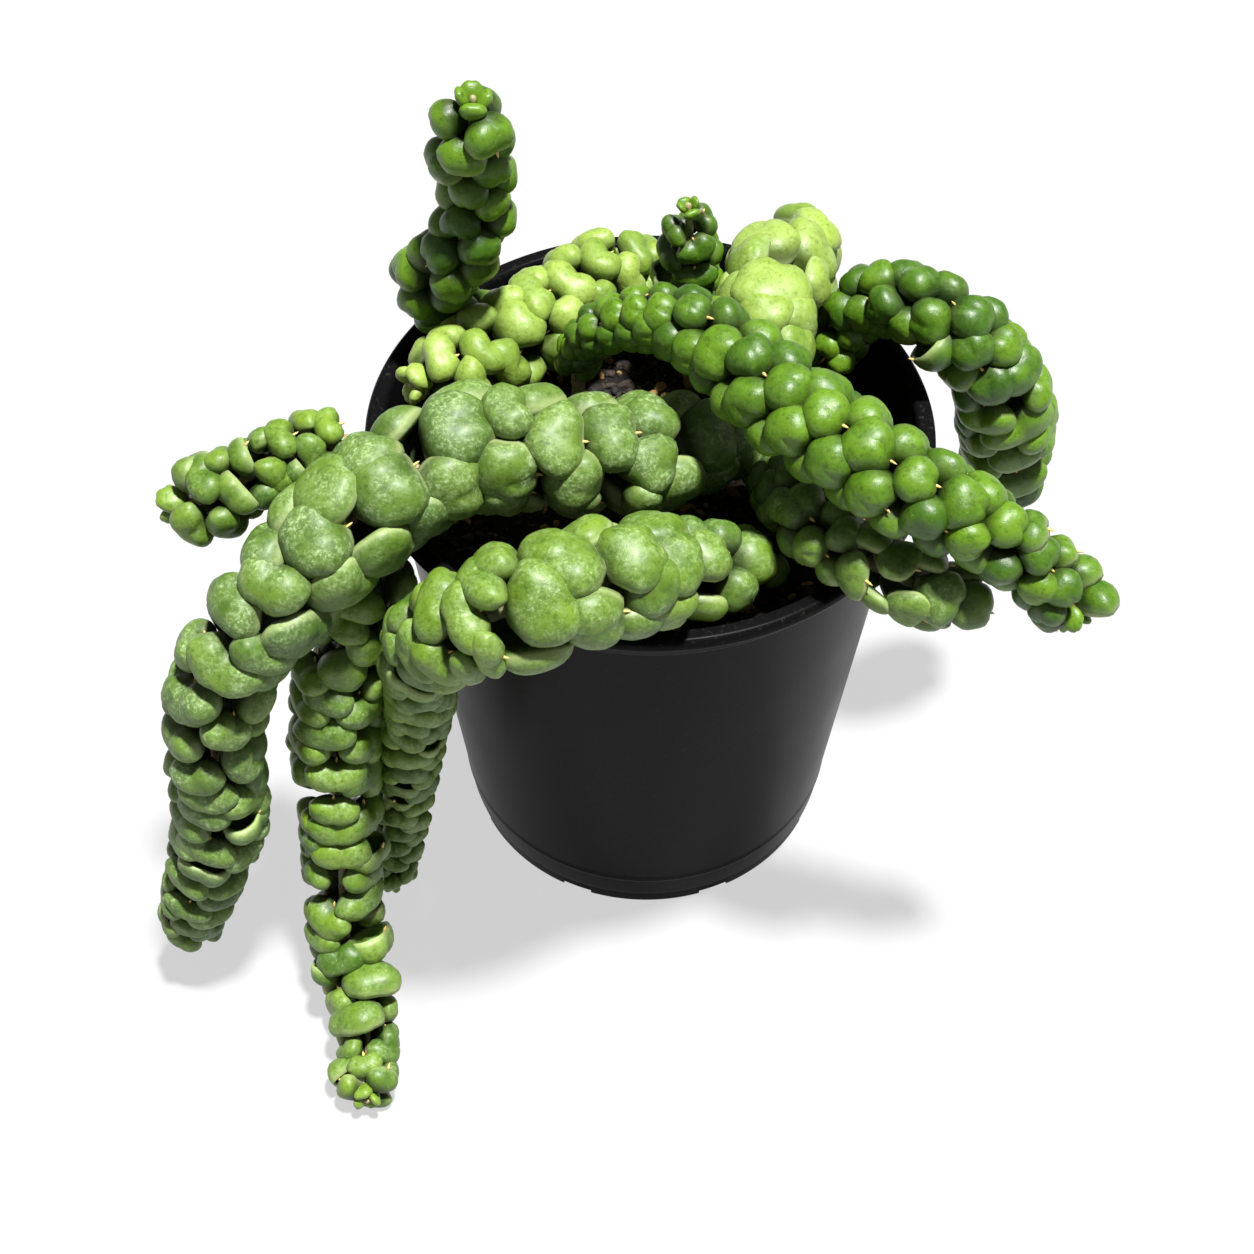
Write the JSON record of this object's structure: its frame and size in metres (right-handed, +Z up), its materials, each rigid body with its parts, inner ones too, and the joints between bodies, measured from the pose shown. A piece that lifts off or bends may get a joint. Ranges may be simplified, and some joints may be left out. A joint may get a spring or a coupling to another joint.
{
  "type": "potted dischidia",
  "caption": "Trailing houseplant with stems packed in domed, shell-like green leaves, growing over the rim of a round black plastic nursery pot.",
  "frame": {"origin": "on the floor, at the middle of the pad under the pot's base", "axes": "+Z up along the pot's axis, the long trailing stems on the -X side, the front of the pot towards -Y"},
  "size_m": [0.2513, 0.2001, 0.2384],
  "materials": {
    "pot_plastic": "satin",
    "potting_mix": "matte",
    "pumice": "matte",
    "stem": "matte",
    "leaf": "satin"
  },
  "bodies": {
    "root": {"leaves_back_left_1": "leaf", "leaves_back_left_2": "leaf", "leaves_back_left_3": "leaf", "leaves_back_middle_1": "leaf", "leaves_back_middle_2": "leaf", "leaves_back_short_1": "leaf", "leaves_back_short_2": "leaf", "leaves_front_left_1": "leaf", "leaves_front_left_2": "leaf", "leaves_front_left_3": "leaf", "leaves_front_left_4": "leaf", "leaves_front_left_5": "leaf", "leaves_front_left_6": "leaf", "leaves_left_long_1": "leaf", "leaves_left_long_2": "leaf", "leaves_left_long_3": "leaf", "leaves_left_long_4": "leaf", "leaves_left_long_5": "leaf", "leaves_left_long_6": "leaf", "leaves_left_long_7": "leaf", "leaves_left_long_8": "leaf", "leaves_left_middle_1": "leaf", "leaves_left_middle_2": "leaf", "leaves_left_middle_3": "leaf", "leaves_left_middle_4": "leaf", "leaves_left_middle_5": "leaf", "leaves_left_middle_6": "leaf", "leaves_left_tip_1": "leaf", "leaves_right_arch_1": "leaf", "leaves_right_arch_2": "leaf", "leaves_right_arch_3": "leaf", "leaves_right_arch_4": "leaf", "leaves_right_arch_5": "leaf", "leaves_right_diagonal_1": "leaf", "leaves_right_diagonal_2": "leaf", "leaves_right_diagonal_3": "leaf", "leaves_right_diagonal_4": "leaf", "leaves_right_diagonal_5": "leaf", "leaves_right_low_1": "leaf", "leaves_right_low_2": "leaf", "leaves_right_low_3": "leaf", "leaves_upright_left_1": "leaf", "leaves_upright_left_2": "leaf", "leaves_upright_left_3": "leaf", "pot": "pot_plastic", "pumice_1": "pumice", "pumice_2": "pumice", "pumice_3": "pumice", "soil": "potting_mix", "stem_back_left": "stem", "stem_back_middle": "stem", "stem_back_short": "stem", "stem_front_left": "stem", "stem_left_long": "stem", "stem_left_middle": "stem", "stem_left_tip": "stem", "stem_right_arch": "stem", "stem_right_diagonal": "stem", "stem_right_low": "stem", "stem_upright_left": "stem"}
  },
  "joints": []
}
